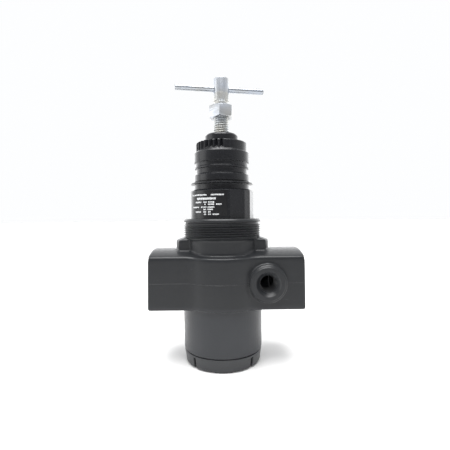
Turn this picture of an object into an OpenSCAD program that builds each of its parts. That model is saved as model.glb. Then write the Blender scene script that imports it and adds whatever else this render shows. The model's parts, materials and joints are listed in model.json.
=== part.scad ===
// Air pressure regulator with a tee-handle adjusting screw.
// Origin on the spool axis at the underside of the base; +Z up, outlet towards +X, gauge port towards -Y.

/* [Body casting] */
// Distance from the axis to the inlet port face
inlet_reach = 57; // [56:0.5:60]
// Distance from the axis to the outlet port face
outlet_reach = 63; // [62:0.5:66]
// Half of the arms' depth, front to back
arm_half_depth = 27.5; // [27:0.25:28.5]
// Height of the arms' lower front edge
arm_low_z = 46.4; // [46:0.1:47]
// Height of the arms' upper front edge
arm_high_z = 86.3; // [86:0.1:87]
// How far the arms' crowned top and bottom rise past their edges
arm_crown = 4.7; // [4:0.1:5]
// Radius of the central barrel
barrel_r = 36; // [35:0.25:37]
// Radius of the hollow blend between barrel and arms
blend_r = 20; // [12:1:24]
// Radius of the pipe thread in the main ports
port_r = 15.6; // [15:0.1:16]
// Depth of the pipe thread in the main ports
port_depth = 22; // [18:1:24]

/* [Cup and base] */
// Radius of the cup at its lower rim
cup_low_r = 31.9; // [31.5:0.1:32.2]
// Radius of the cup where it meets the arms
cup_high_r = 32.6; // [32.3:0.1:33]
// Height of the cup's lower rim
cup_z = 10.5; // [10.4:0.1:11]
// Radius of the base plug's thread
plug_r = 26.9; // [26.5:0.1:26.9]
// Height of the feet under the base plug
foot_h = 0.8; // [0.4:0.1:1.2]
// Width of the spanner slots in the base plug
slot_w = 2.2; // [1.6:0.1:3]

/* [Neck and panel collar] */
// Radius of the plain skirt below the collar
skirt_r = 30; // [29.6:0.1:31]
// Radius of the threaded panel collar
collar_r = 32; // [31.5:0.1:32.5]
// Height of the collar's lower edge
collar_low_z = 100.3; // [100:0.1:101]
// Height of the collar's upper edge
collar_high_z = 115.3; // [115:0.1:116]
// Radius of the bore that the bonnet screws into
neck_bore_r = 27; // [27:0.05:27.2]

/* [Gauge ports] */
// Distance of the gauge ports from the axis
gauge_x = 34.2; // [33.5:0.1:35]
// Radius of the gauge bosses
gauge_boss_r = 14.3; // [13.5:0.1:15]
// Distance of the gauge boss faces from the middle plane
gauge_face_y = 33; // [32:0.25:34]
// Radius of the pipe thread in the gauge ports
gauge_r = 6.1; // [5.8:0.1:6.4]

/* [Bonnet] */
// Radius of the faceted lower part
facet_r = 26.4; // [25.5:0.1:26.5]
// Height of the top of the faceted part
facet_high_z = 139; // [138.5:0.1:139.2]
// Height of the flat top of the bonnet
bonnet_high_z = 186; // [185:0.5:187]
// Radius of the spring chamber
spring_bore_r = 19; // [18.8:0.1:19.4]
// Angle between two serrations of the grip ring
serration_pitch = 11.6; // [11:0.1:12]
// Number of serrations in each of the two groups
serration_count = 8; // [5:1:9]

/* [Adjusting screw] */
// Radius of the screw's thread
screw_r = 6.35; // [6.3:0.01:6.37]
// Radius of the cross-drilled head
head_r = 6.8; // [6.6:0.1:7.5]
// Height of the top of the head
head_high_z = 234.5; // [232:0.5:238]
// Height of the tommy bar's axis
bar_z = 225.4; // [222:0.2:226]
// Radius of the tommy bar
bar_r = 2.4; // [2:0.1:3]
// Length of the tommy bar
bar_length = 76.2; // [60:0.2:90]
// Turn of the tommy bar about the vertical axis
bar_turn = 6; // [-90:1:90]
// Width of the lock nut across its flats
nut_flats = 19.05; // [18:0.05:20]
// Height of the lock nut's lower face
nut_low_z = 200.1; // [198:0.1:200.5]
// Height of the lock nut
nut_h = 10.8; // [8:0.1:11]

/* [Springs and valve] */
// Wire radius of the range spring
range_wire_r = 2.1; // [1.6:0.1:2.3]
// Mean radius of the range spring
range_coil_r = 14.9; // [14.5:0.1:15.2]
// Wire radius of the valve spring
valve_wire_r = 0.8; // [0.5:0.1:0.9]
// Mean radius of the valve spring
valve_coil_r = 8.6; // [8.5:0.1:9.5]
// Radius of the opening in the valve seat
seat_bore_r = 10; // [9:0.1:10.2]

/* [Hidden] */
$fn = 96;

cast_black = [0.13, 0.135, 0.14];
bonnet_black = [0.08, 0.08, 0.085];
bright_zinc = [0.78, 0.79, 0.81];
spring_steel = [0.45, 0.46, 0.48];
brass = [0.76, 0.6, 0.3];
rubber_black = [0.05, 0.05, 0.05];

eps = 0.01;
port_z = (arm_low_z + arm_high_z) / 2;
arm_mid_x = (outlet_reach - inlet_reach) / 2;
arm_length = outlet_reach + inlet_reach;
arm_crest_z = arm_high_z + arm_crown;
crown_r = (arm_half_depth * arm_half_depth + arm_crown * arm_crown) / (2 * arm_crown);

// chambers and passages inside the casting
lower_chamber_r = 22;
upper_chamber_r = 23;
web_low_z = 62;
web_high_z = 70.5;
shoulder_z = 91;
plug_thread_high_z = 30;
passage_half_w = 10;
outlet_well_r = 13.5;
seat_hole_r = 15.05;

// stack of the diaphragm clamp, from the shoulder up
diaphragm_t = 1.5;
diaphragm_rim_r = 26.8;
diaphragm_lift_z = 93.6;
slip_ring_h = 1.5;
bonnet_low_z = shoulder_z + diaphragm_t + slip_ring_h;
plate_low_z = diaphragm_lift_z + diaphragm_t;
plate_h = 3;
range_spring_low_z = plate_low_z + plate_h;
range_spring_high_z = 156;
button_h = 6;
button_top_z = range_spring_high_z + button_h;

// bonnet details
bonnet_thread_high_z = 112;
spring_bore_high_z = 166;
serration_r = 21.4;
serration_low_z = 171.9;
serration_high_z = 178.6;
crown_boss_r = 14;
screw_hole_r = 6.4;
label_from = -80;
label_to = 8.5;
facet_edges = [12.5, 42, 58, 90, 122, 138, 170, 202, 218, 250, 280];

// adjusting screw details
thread_high_z = 212;
head_low_z = 215.8;
dog_r = 3.95;
dog_h = 3;

// valve details
seat_lip_z = 60;
valve_gap = 0.2;
poppet_low_z = 50;
poppet_high_z = 57;
guide_r = 6;
guide_low_z = 26;
valve_spring_low_z = 24;
hub_low_z = 88.6;
stem_r = 2.48;

// A point at an angle counted from the front, positive towards the outlet
function from_front(r, a) = [r * sin(a), -r * cos(a)];

// A tube or disc of an (r, z) outline turned about the spool axis
module turned(points) rotate_extrude() polygon(points);

module ring(r_in, r_out, low, high)
    turned([[r_in, low], [r_out, low], [r_out, high], [r_in, high]]);

module o_ring(mid_r, wire_r, z)
    translate([0, 0, z]) rotate_extrude() translate([mid_r, 0]) circle(wire_r, $fn = 32);

// Coil spring: one closed tube swept along a helix between two heights
module coil(mid_r, wire_r, low, high, turns) {
    steps = 18;
    sides = 8;
    rise = high - low - 2 * wire_r;
    n = ceil(turns * steps);
    points = [for (i = [0:n]) let (a = 360 * i / steps, z = low + wire_r + rise * i / n)
        for (k = [0:sides - 1]) let (b = 360 * k / sides, r = mid_r + wire_r * cos(b))
            [r * cos(a), r * sin(a), z + wire_r * sin(b)]];
    side_faces = [for (i = [0:n - 1], k = [0:sides - 1]) let (m = (k + 1) % sides)
        [i * sides + k, i * sides + m, (i + 1) * sides + m, (i + 1) * sides + k]];
    start_face = [[for (k = [0:sides - 1]) sides - 1 - k]];
    end_face = [[for (k = [0:sides - 1]) n * sides + k]];
    polyhedron(points, concat(side_faces, start_face, end_face), convexity = 10);
}

// Outline of the arms seen along the ports: flat sides, crowned top and bottom
module arm_section() {
    intersection() {
        translate([-arm_half_depth, arm_low_z - arm_crown])
            square([2 * arm_half_depth, arm_high_z - arm_low_z + 2 * arm_crown]);
        translate([0, arm_crest_z - crown_r]) circle(crown_r, $fn = 240);
        translate([0, arm_low_z - arm_crown + crown_r]) circle(crown_r, $fn = 240);
    }
}

module arms()
    translate([-inlet_reach, 0, 0]) rotate([90, 0, 90]) linear_extrude(arm_length) arm_section();

// Hollow blend that fills the corner between the barrel and one arm's face
module barrel_blend() {
    centre_y = arm_half_depth + blend_r;
    centre_x = sqrt(pow(barrel_r + blend_r, 2) - pow(centre_y, 2));
    touch = barrel_r / (barrel_r + blend_r);
    difference() {
        polygon([[centre_x * touch, centre_y * touch], [centre_x, centre_y],
            [centre_x, arm_half_depth], [centre_x * touch, arm_half_depth - 4]]);
        translate([centre_x, centre_y]) circle(blend_r);
    }
}

module barrel()
    translate([0, 0, arm_low_z]) linear_extrude(arm_high_z - arm_low_z) {
        circle(barrel_r);
        for (side = [0, 1], face = [0, 1])
            mirror([side, 0]) mirror([0, face]) barrel_blend();
    }

// Stop lug at the outer side of the skirt, with a bevelled top
module lug() {
    lug_x = 37.3;
    lug_y = 15;
    lug_high_z = 101;
    bevel = 2.6;
    root_x = 24;
    low_z = 84;
    corner_x = 34.5;
    corner_y = 9;
    intersection() {
        translate([0, 0, low_z]) linear_extrude(lug_high_z - low_z) polygon([[root_x, -lug_y],
            [corner_x, -lug_y], [lug_x, -corner_y], [lug_x, corner_y], [corner_x, lug_y], [root_x, lug_y]]);
        translate([0, lug_y, 0]) rotate([90, 0, 0]) linear_extrude(2 * lug_y)
            polygon([[root_x, low_z], [lug_x, low_z], [lug_x, lug_high_z - bevel],
                [lug_x - bevel, lug_high_z], [root_x, lug_high_z]]);
        translate([root_x, 0, 0]) rotate([90, 0, 90]) linear_extrude(lug_x - root_x)
            polygon([[-lug_y, low_z], [lug_y, low_z], [lug_y, lug_high_z - bevel],
                [lug_y - bevel, lug_high_z], [bevel - lug_y, lug_high_z], [-lug_y, lug_high_z - bevel]]);
    }
}

module gauge_bosses() {
    rim = 2.1;
    translate([gauge_x, 0, port_z]) rotate([90, 0, 0]) turned([[0, -gauge_face_y],
        [gauge_boss_r - rim, -gauge_face_y], [gauge_boss_r, rim - gauge_face_y],
        [gauge_boss_r, gauge_face_y - rim], [gauge_boss_r - rim, gauge_face_y], [0, gauge_face_y]]);
}

// Bores and passages that the air runs through
module passages() {
    wide = 2 * passage_half_w;
    for (side = [[-inlet_reach, 1], [outlet_reach, -1]])
        translate([side[0], 0, port_z]) rotate([0, 90 * side[1], 0]) {
            translate([0, 0, -eps]) cylinder(r = port_r, h = port_depth + eps);
            translate([0, 0, -eps]) cylinder(r1 = port_r + 1.6, r2 = port_r, h = 1.6);
        }
    translate([-inlet_reach + port_depth - eps, -passage_half_w, port_z - port_r])
        cube([inlet_reach - port_depth - 12, wide, web_low_z - port_z + port_r]);
    translate([12, -passage_half_w, web_high_z])
        cube([outlet_reach - port_depth - 12 + eps, wide, port_z + port_r - web_high_z]);
    translate([28, 0, port_z]) rotate([0, 90, 0])
        cylinder(r = outlet_well_r, h = outlet_reach - port_depth - 28 + eps);
    translate([0, 0, plug_thread_high_z - eps])
        cylinder(r = lower_chamber_r, h = web_low_z - plug_thread_high_z + eps);
    translate([0, 0, web_high_z]) cylinder(r = upper_chamber_r, h = shoulder_z - web_high_z + eps);
    translate([0, 0, web_low_z - 1]) cylinder(r = seat_hole_r, h = web_high_z - web_low_z + 2);
    translate([0, 0, cup_z - eps])
        cylinder(r = neck_bore_r, h = plug_thread_high_z - cup_z + eps);
    translate([0, 0, shoulder_z]) cylinder(r = neck_bore_r, h = collar_high_z - shoulder_z + eps);
    translate([0, 0, collar_high_z - 1.5])
        cylinder(r1 = neck_bore_r, r2 = neck_bore_r + 1.5, h = 1.5 + eps);
    translate([gauge_x, 0, port_z]) rotate([90, 0, 0])
        cylinder(r = gauge_r, h = 2 * gauge_face_y + 2, center = true);
    for (face = [0, 1]) mirror([0, face, 0])
        translate([gauge_x, -gauge_face_y - eps, port_z]) rotate([-90, 0, 0])
            cylinder(r1 = gauge_r + 3.1, r2 = gauge_r, h = 3.1);
}

module body() {
    chamfer = 1.7;
    color(cast_black) difference() {
        union() {
            arms();
            barrel();
            turned([[0, cup_z], [cup_low_r, cup_z], [cup_high_r, arm_low_z], [cup_high_r, port_z], [0, port_z]]);
            translate([0, 0, port_z]) cylinder(r = skirt_r, h = collar_low_z - port_z + eps);
            turned([[0, collar_low_z - 1.6], [collar_r - 1.6, collar_low_z - 1.6], [collar_r, collar_low_z],
                [collar_r, collar_high_z - chamfer], [collar_r - chamfer, collar_high_z], [0, collar_high_z]]);
            lug();
            mirror([1, 0, 0]) lug();
            gauge_bosses();
        }
        passages();
    }
}

// Upper outline of the bonnet: bands, thin disc, ribs and grooves from the facets up
module bonnet_bands()
    turned([[0, facet_high_z - 2], [23.2, facet_high_z - 2], [23.2, 143.2], [26.2, 143.5], [26.2, 144.6],
        [22.4, 145.1], [22.4, 145.6], [23, 145.8], [23, 151.1], [21.5, 152.5], [21.5, 156.2], [22.8, 156.6],
        [22.8, 157.7], [22.1, 158.5], [22.1, 161.2], [23.2, 161.7], [23.2, 169.6],
        [serration_r, 171.4], [serration_r, serration_high_z - 0.6],
        [serration_r - 0.6, serration_high_z], [crown_boss_r, serration_high_z],
        [crown_boss_r, bonnet_high_z - 1.6], [crown_boss_r - 0.5, bonnet_high_z - 0.5],
        [crown_boss_r - 1.6, bonnet_high_z], [0, bonnet_high_z]]);

// Lower part: flats for a wrench, and a plain round sector for the label
module bonnet_facets()
    intersection() {
        turned([[0, bonnet_thread_high_z - eps], [facet_r, bonnet_thread_high_z - eps],
            [facet_r, facet_high_z - 1.3], [facet_r - 1.3, facet_high_z], [0, facet_high_z]]);
        linear_extrude(facet_high_z + 1) polygon([for (a = facet_edges) from_front(facet_r + 0.08, a),
            for (a = [300:25:350]) from_front(facet_r * 1.4, a)]);
    }

module serrations()
    for (group = [0, 180], i = [0:serration_count - 1])
        rotate([0, 0, group - 90 - serration_pitch * i]) translate([0, 0, serration_low_z])
            linear_extrude(bonnet_high_z) polygon([[serration_r - 2.4, 0],
                [serration_r + 0.6, -2.3], [serration_r + 0.6, 2.3]]);

module bonnet()
    color(bonnet_black) difference() {
        union() {
            translate([0, 0, bonnet_low_z])
                cylinder(r = neck_bore_r - 0.05, h = bonnet_thread_high_z - bonnet_low_z);
            bonnet_facets();
            bonnet_bands();
        }
        translate([0, 0, bonnet_low_z - eps])
            cylinder(r = spring_bore_r, h = spring_bore_high_z - bonnet_low_z + eps);
        cylinder(r = screw_hole_r, h = bonnet_high_z + 1);
        translate([0, 0, bonnet_high_z - 1])
            cylinder(r1 = screw_hole_r, r2 = screw_hole_r + 1, h = 1 + eps);
        translate([0, 30, 149]) rotate([90, 0, 0]) cylinder(r = 1.6, h = 20);
        serrations();
    }

module rating_label()
    color(rubber_black) rotate([0, 0, label_from - 90])
        rotate_extrude(angle = label_to - label_from)
            translate([facet_r + 0.01, 117.4]) square([0.15, 20]);

module bottom_plug() {
    flange_high_z = cup_z - 0.2;
    thread_high_z = 28;
    tube_high_z = 38;
    foot_w = 14;
    color(cast_black) difference() {
        union() {
            turned([[0, foot_h], [29.8, foot_h], [30.4, foot_h + 0.6], [30.8, 5], [31.7, flange_high_z - 0.5],
                [31.3, flange_high_z], [plug_r, flange_high_z], [plug_r, thread_high_z - 1],
                [plug_r - 1, thread_high_z], [18, thread_high_z], [18, 17], [11, 17], [11, valve_spring_low_z],
                [7.5, valve_spring_low_z], [7.5, tube_high_z], [0, tube_high_z]]);
            intersection() {
                for (turn = [0, 90]) rotate([0, 0, turn]) translate([-31, -foot_w / 2, 0])
                    cube([62, foot_w, foot_h + 1]);
                cylinder(r1 = 29.4, r2 = 30, h = foot_h + 1);
            }
        }
        ring(plug_r - 2, plug_r + 1, 13, 16);
        translate([0, 0, 19]) cylinder(r = guide_r + 0.05, h = 30);
        for (turn = [45:90:315]) rotate([0, 0, turn])
            translate([28.6, -slot_w / 2, -eps]) cube([6, slot_w, 8.6]);
    }
}

module bottom_plug_o_ring() color(rubber_black) o_ring(plug_r - 0.97, 0.95, 14.5);

module gauge_port_plug()
    color(cast_black) translate([gauge_x, gauge_face_y - 0.8, port_z]) rotate([90, 0, 0]) difference() {
        turned([[0, 0], [gauge_r - 0.9, 0], [gauge_r - 0.02, 0.9], [gauge_r - 0.02, 9.4],
            [gauge_r - 0.8, 10.2], [0, 10.2]]);
        translate([0, 0, -eps]) cylinder(d = 6.35 / cos(30), h = 5, $fn = 6);
        translate([0, 0, -eps]) cylinder(r1 = 4.3, r2 = 3.2, h = 0.8);
    }

module adjusting_screw()
    color(bright_zinc) difference() {
        turned([[0, button_top_z - dog_h], [dog_r - 0.5, button_top_z - dog_h],
            [dog_r, button_top_z - dog_h + 0.5], [dog_r, button_top_z + 0.6], [screw_r - 1, button_top_z + 0.6],
            [screw_r, button_top_z + 1.6], [screw_r, thread_high_z - 0.8], [5.4, thread_high_z],
            [5.4, head_low_z - 2], [head_r - 0.8, head_low_z - 1.2], [head_r, head_low_z],
            [head_r, head_high_z - 0.8], [head_r - 0.8, head_high_z], [0, head_high_z]]);
        translate([0, 0, bar_z]) rotate([0, 90, bar_turn])
            cylinder(r = bar_r + 0.02, h = 4 * head_r, center = true);
    }

module tommy_bar() {
    bar_shift = -1;
    edge = 0.4;
    color(bright_zinc) translate([0, 0, bar_z]) rotate([0, 0, bar_turn])
        translate([bar_shift - bar_length / 2, 0, 0]) rotate([0, 90, 0])
            turned([[0, 0], [bar_r - edge, 0], [bar_r, edge], [bar_r, bar_length - edge],
                [bar_r - edge, bar_length], [0, bar_length]]);
}

module lock_nut() {
    corner_r = nut_flats / 2 / cos(30);
    edge = 1.5;
    color(bright_zinc) difference() {
        intersection() {
            translate([0, 0, nut_low_z]) rotate([0, 0, 23]) cylinder(r = corner_r, h = nut_h, $fn = 6);
            turned([[0, nut_low_z], [corner_r - edge, nut_low_z], [corner_r + 0.2, nut_low_z + edge * 0.6],
                [corner_r + 0.2, nut_low_z + nut_h - edge * 0.6], [corner_r - edge, nut_low_z + nut_h],
                [0, nut_low_z + nut_h]]);
        }
        cylinder(r = screw_r + 0.05, h = 250);
        for (z = [nut_low_z - eps, nut_low_z + nut_h + eps])
            translate([0, 0, z]) cylinder(r = 7.2, h = 0.8, center = true);
    }
}

module spring_button()
    color(spring_steel) difference() {
        turned([[0, range_spring_high_z - 5], [12.2, range_spring_high_z - 5], [12.4, range_spring_high_z],
            [17.4, range_spring_high_z], [17.4, range_spring_high_z + 3], [9, button_top_z], [0, button_top_z]]);
        translate([0, 0, button_top_z - dog_h - 0.1]) cylinder(r = dog_r + 0.05, h = dog_h + 1);
    }

module range_spring()
    color(spring_steel)
        coil(range_coil_r, range_wire_r, range_spring_low_z, range_spring_high_z, 7.5);

module slip_ring()
    color(spring_steel) ring(23, diaphragm_rim_r, shoulder_z + diaphragm_t, bonnet_low_z);

module diaphragm()
    color(rubber_black) turned([[5.1, diaphragm_lift_z], [16.6, diaphragm_lift_z], [20.3, shoulder_z],
        [diaphragm_rim_r, shoulder_z], [diaphragm_rim_r, shoulder_z + diaphragm_t],
        [21, shoulder_z + diaphragm_t], [17, plate_low_z], [5.1, plate_low_z]]);

module diaphragm_plate()
    color(spring_steel) turned([[5.1, plate_low_z], [17.6, plate_low_z], [18.2, plate_low_z + 0.6],
        [18.2, range_spring_low_z], [12.4, range_spring_low_z], [12.2, range_spring_low_z + 2.5],
        [11, range_spring_low_z + 2.5], [10.6, range_spring_low_z], [5.1, range_spring_low_z]]);

module diaphragm_hub()
    color(brass) turned([[2, hub_low_z + 1.2], [2.8, hub_low_z], [6, hub_low_z], [9, hub_low_z + 2],
        [12, hub_low_z + 2.6], [12, diaphragm_lift_z], [5, diaphragm_lift_z], [5, range_spring_low_z + 5.5],
        [4.5, range_spring_low_z + 6], [2, range_spring_low_z + 6]]);

module hub_nut()
    color(brass) translate([0, 0, range_spring_low_z]) difference() {
        cylinder(r = 9.2, h = 5, $fn = 6);
        translate([0, 0, -1]) cylinder(r = 5.02, h = 7);
    }

module valve_seat()
    color(brass) difference() {
        turned([[seat_bore_r, seat_lip_z], [seat_bore_r + 1.2, seat_lip_z], [seat_bore_r + 2, seat_lip_z + 1],
            [seat_hole_r - 0.05, seat_lip_z + 1], [seat_hole_r - 0.05, web_high_z], [17.5, web_high_z],
            [17.5, web_high_z + 2.5], [seat_bore_r + 1, web_high_z + 2.5], [seat_bore_r, web_high_z + 1.5]]);
        ring(13.25, 16, 65, 67.5);
        for (turn = [0, 90]) rotate([0, 0, turn]) translate([-18, -1.5, web_high_z + 1])
            cube([36, 3, 3]);
    }

module seat_o_ring() color(rubber_black) o_ring(14.15, 0.85, 66.25);

module valve_poppet()
    color(brass) difference() {
        turned([[0, guide_low_z], [guide_r - 0.6, guide_low_z], [guide_r, guide_low_z + 0.6],
            [guide_r, poppet_low_z - 2], [7.4, poppet_low_z - 1], [7.4, poppet_low_z], [13, poppet_low_z],
            [13, poppet_high_z], [8.2, poppet_high_z], [8.2, poppet_high_z + 2.2], [0, poppet_high_z + 2.2]]);
        translate([0, 0, 45]) cylinder(r = stem_r + 0.01, h = 20);
        ring(4.4, guide_r + 1, 30, 32.4);
    }

module poppet_seal()
    color(rubber_black) ring(8.22, 12.8, poppet_high_z, seat_lip_z - valve_gap);

module valve_stem()
    color(spring_steel) turned([[0, 45.1], [stem_r, 45.1], [stem_r, hub_low_z - 2.2],
        [1.4, hub_low_z - valve_gap], [0, hub_low_z - valve_gap]]);

module valve_spring()
    color(spring_steel) coil(valve_coil_r, valve_wire_r, valve_spring_low_z, poppet_low_z, 6.5);

module stem_o_ring() color(rubber_black) o_ring(5.2, 0.79, 31.2);

body();
bonnet();
rating_label();
bottom_plug();
bottom_plug_o_ring();
gauge_port_plug();
adjusting_screw();
tommy_bar();
lock_nut();
spring_button();
range_spring();
slip_ring();
diaphragm();
diaphragm_plate();
diaphragm_hub();
hub_nut();
valve_seat();
seat_o_ring();
valve_poppet();
poppet_seal();
valve_stem();
valve_spring();
stem_o_ring();
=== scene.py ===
import json
import math
import random

import bmesh
import bpy
import numpy as np
from mathutils import Matrix, Vector


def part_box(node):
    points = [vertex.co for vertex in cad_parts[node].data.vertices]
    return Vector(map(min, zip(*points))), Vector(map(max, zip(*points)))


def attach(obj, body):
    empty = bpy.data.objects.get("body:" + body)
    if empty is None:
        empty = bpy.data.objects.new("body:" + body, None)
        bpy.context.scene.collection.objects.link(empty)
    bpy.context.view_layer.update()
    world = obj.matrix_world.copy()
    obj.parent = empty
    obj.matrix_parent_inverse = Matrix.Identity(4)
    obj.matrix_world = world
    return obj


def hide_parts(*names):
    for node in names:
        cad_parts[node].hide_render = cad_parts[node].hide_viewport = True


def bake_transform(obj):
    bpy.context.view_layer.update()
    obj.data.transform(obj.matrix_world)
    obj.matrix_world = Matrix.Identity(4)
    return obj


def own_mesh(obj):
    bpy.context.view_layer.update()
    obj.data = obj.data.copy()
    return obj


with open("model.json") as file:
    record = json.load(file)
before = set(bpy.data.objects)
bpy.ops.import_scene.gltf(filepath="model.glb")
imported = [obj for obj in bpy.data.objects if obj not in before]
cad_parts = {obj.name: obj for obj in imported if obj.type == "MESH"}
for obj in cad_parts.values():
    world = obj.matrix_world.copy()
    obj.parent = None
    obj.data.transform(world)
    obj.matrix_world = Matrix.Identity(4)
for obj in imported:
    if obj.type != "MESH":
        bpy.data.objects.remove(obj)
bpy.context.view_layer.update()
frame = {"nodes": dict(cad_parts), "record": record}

MM = 0.001
FULL = 2 * math.pi
WELD = 2e-7

# ---------------------------------------------------------------------------
# Measures taken from the frame, in millimetres
# ---------------------------------------------------------------------------
mounts = {m["name"]: m for m in frame["record"]["mounts"]}


def box_mm(node):
    """Lowest and highest corner of a CAD node in millimetres."""
    low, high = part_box(node)
    return Vector(low) / MM, Vector(high) / MM


def mount_mm(name):
    """Position, radius and length of a mount in millimetres."""
    m = mounts[name]
    dims = m["dims"]
    return Vector(m["pos_m"]) / MM, dims.get("r_mm"), dims.get("length_mm")


body_low, body_high = box_mm("body")
bonnet_high = box_mm("bonnet")[1]
screw_low, screw_high = box_mm("adjusting_screw")
bar_low, bar_high = box_mm("tommy_bar")
nut_low, nut_high = box_mm("lock_nut")
label_low, label_high = box_mm("rating_label")
range_low, range_high = box_mm("range_spring")
valve_low, valve_high = box_mm("valve_spring")
diaphragm_low, diaphragm_high = box_mm("diaphragm")

collar_r = mount_mm("panel_collar")[1]
collar_top = body_high.z
port_at, port_r, port_length = mount_mm("outlet_port")
gauge_at, gauge_r, gauge_length = mount_mm("gauge_port")
port_z = port_at.z

# ---------------------------------------------------------------------------
# Camera
# ---------------------------------------------------------------------------
SENSOR = 36.0
LENS = 26.0
CAMERA_AT = Vector((-0.56, -275, 118)) * MM
TILT_UP, YAW, ROLL = 1.5, -0.64, -0.5
SHIFT_Y = -0.0404
camera_data = bpy.data.cameras.new("camera")
camera_data.sensor_width = SENSOR
camera_data.lens = LENS
camera_data.shift_y = SHIFT_Y
camera_data.clip_start, camera_data.clip_end = 0.01, 50
camera = bpy.data.objects.new("camera", camera_data)
bpy.context.scene.collection.objects.link(camera)
camera.matrix_world = (
    Matrix.Translation(CAMERA_AT)
    @ Matrix.Rotation(math.radians(YAW), 4, "Z")
    @ Matrix.Rotation(math.radians(90 + TILT_UP), 4, "X")
    @ Matrix.Rotation(math.radians(ROLL), 4, "Z")
)
bpy.context.scene.camera = camera

# ---------------------------------------------------------------------------
# Mesh building
# ---------------------------------------------------------------------------


class Shell:
    """Surfaces in millimetres, welded into one mesh in metres at the end."""

    def __init__(self):
        self.points, self.faces, self.count = [], [], 0

    def add(self, points, faces):
        points = np.asarray(points, float).reshape(-1, 3)
        self.faces += (np.asarray(faces, int) + self.count).tolist()
        self.points.append(points)
        self.count += len(points)
        return self

    def grid(self, points):
        """A net of rows of points, where each row's end meets its start."""
        rows, cols = points.shape[:2]
        index = np.arange(rows * cols).reshape(rows, cols)
        index = np.concatenate([index, index[:, :1]], axis=1)
        a, b = index[:-1, :-1].ravel(), index[:-1, 1:].ravel()
        c, d = index[1:, 1:].ravel(), index[1:, :-1].ravel()
        return self.add(points, np.stack([a, b, c, d], axis=1))

    def object(self, name, crease=32, place=None):
        """The welded, closed mesh as an object; place is a matrix in millimetres."""
        points = np.concatenate(self.points)
        if place is not None:
            m = np.array(place, float)
            points = points @ m[:3, :3].T + m[:3, 3]
        mesh = bpy.data.meshes.new(name)
        mesh.from_pydata((points * MM).tolist(), [], self.faces)
        work = bmesh.new()
        work.from_mesh(mesh)
        bmesh.ops.remove_doubles(work, verts=work.verts, dist=WELD)
        bmesh.ops.dissolve_degenerate(work, edges=work.edges, dist=WELD)
        bmesh.ops.recalc_face_normals(work, faces=work.faces)
        work.to_mesh(mesh)
        work.free()
        return to_scene(name, mesh, crease)


def to_scene(name, mesh, crease=32):
    """Puts a mesh in the scene as an object with smooth faces and crisp edges."""
    mesh.shade_smooth()
    mesh.set_sharp_from_angle(angle=math.radians(crease))
    ob = bpy.data.objects.new(name, mesh)
    bpy.context.scene.collection.objects.link(ob)
    return ob


def soften(outline, steps=4):
    """An (r, z) outline from corners (r, z, fillet), with each fillet drawn as a small arc."""
    made = []
    for i, (r, z, fillet) in enumerate(outline):
        corner = Vector((r, z))
        if fillet == 0 or i in (0, len(outline) - 1):
            made.append((r, z))
            continue
        before = Vector(outline[i - 1][:2]) - corner
        after = Vector(outline[i + 1][:2]) - corner
        half = before.angle(after) / 2
        reach = min(fillet / math.tan(half), 0.48 * before.length, 0.48 * after.length)
        a, b = corner + before.normalized() * reach, corner + after.normalized() * reach
        for k in range(steps + 1):
            t = k / steps
            p = a * (1 - t) ** 2 + corner * (2 * t * (1 - t)) + b * t**2
            made.append((p.x, p.y))
    return made


def densify(outline, step, low=-1e9, high=1e9):
    """Adds points to an (r, z) outline between two heights, so that no stretch there exceeds step."""
    made = [outline[0]]
    for (r0, z0), (r1, z1) in zip(outline, outline[1:]):
        inside = low <= min(z0, z1) and max(z0, z1) <= high
        n = max(1, math.ceil(math.hypot(r1 - r0, z1 - z0) / step)) if inside else 1
        made += [(r0 + (r1 - r0) * k / n, z0 + (z1 - z0) * k / n) for k in range(1, n + 1)]
    return made


def lathe(outline, sides=128, rule=None):
    """The net that an (r, z) outline sweeps about the Z axis. rule(angles, r, z) may change r."""
    angles = np.arange(sides) * FULL / sides
    rows = []
    for r, z in outline:
        radius = np.full(sides, float(r)) if rule is None else rule(angles, r, z)
        rows.append(np.stack([radius * np.cos(angles), radius * np.sin(angles), np.full(sides, z)], axis=1))
    return np.array(rows)


def turned(name, outline, sides=128, rule=None, crease=32):
    """A solid of revolution. The outline ends on the axis, or closes on itself as a ring."""
    shell = Shell().grid(lathe(outline, sides, rule))
    return shell.object(name, crease)


def thread_wall(shell, crest_r, root_r, pitch, low, high, low_r, high_r, sides=144, taper=0.0):
    """A right-handed thread between two heights. It starts on the circle low_r and ends on high_r,
    and a 45 degree cone trims each end. With crest_r below root_r it is an inside thread."""
    peak_r = crest_r * 1.04 - root_r * 0.04
    turn = [(0.0, root_r), (0.13, root_r), (0.46, crest_r), (0.54, peak_r), (0.62, crest_r), (0.95, root_r)]
    out = 1 if crest_r > root_r else -1
    turns = math.ceil((high - low) / pitch) + 2
    angles = np.arange(sides) * FULL / sides
    share = np.concatenate([[t + u for u, _ in turn] for t in range(turns)] + [[turns]])
    radius = np.concatenate([[r for _, r in turn] for _ in range(turns)] + [[root_r]])
    z = low - pitch + pitch * share[None, :] + pitch * (angles / FULL)[:, None]
    r = np.broadcast_to(radius[None, :], z.shape) + taper * (z - low)
    r = out * np.minimum(out * r, out * low_r + (z - low))
    r = out * np.minimum(out * r, out * high_r + (high - z))
    r = np.where(z <= low, low_r, np.where(z >= high, high_r, r))
    z = np.clip(z, low, high)
    points = np.stack([r * np.cos(angles)[:, None], r * np.sin(angles)[:, None], z], axis=2)
    cols = z.shape[1]
    index = np.arange(sides * cols).reshape(sides, cols)
    m = len(turn)
    a, b = index[:-1, :-1].ravel(), index[1:, :-1].ravel()
    c, d = index[1:, 1:].ravel(), index[:-1, 1:].ravel()
    faces = [np.stack([a, b, c, d], axis=1)]
    a, b = index[-1, : cols - 1 - m], index[0, m : cols - 1]
    c, d = index[0, m + 1 :], index[-1, 1 : cols - m]
    faces.append(np.stack([a, b, c, d], axis=1))
    return shell.add(points, np.concatenate(faces))


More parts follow.
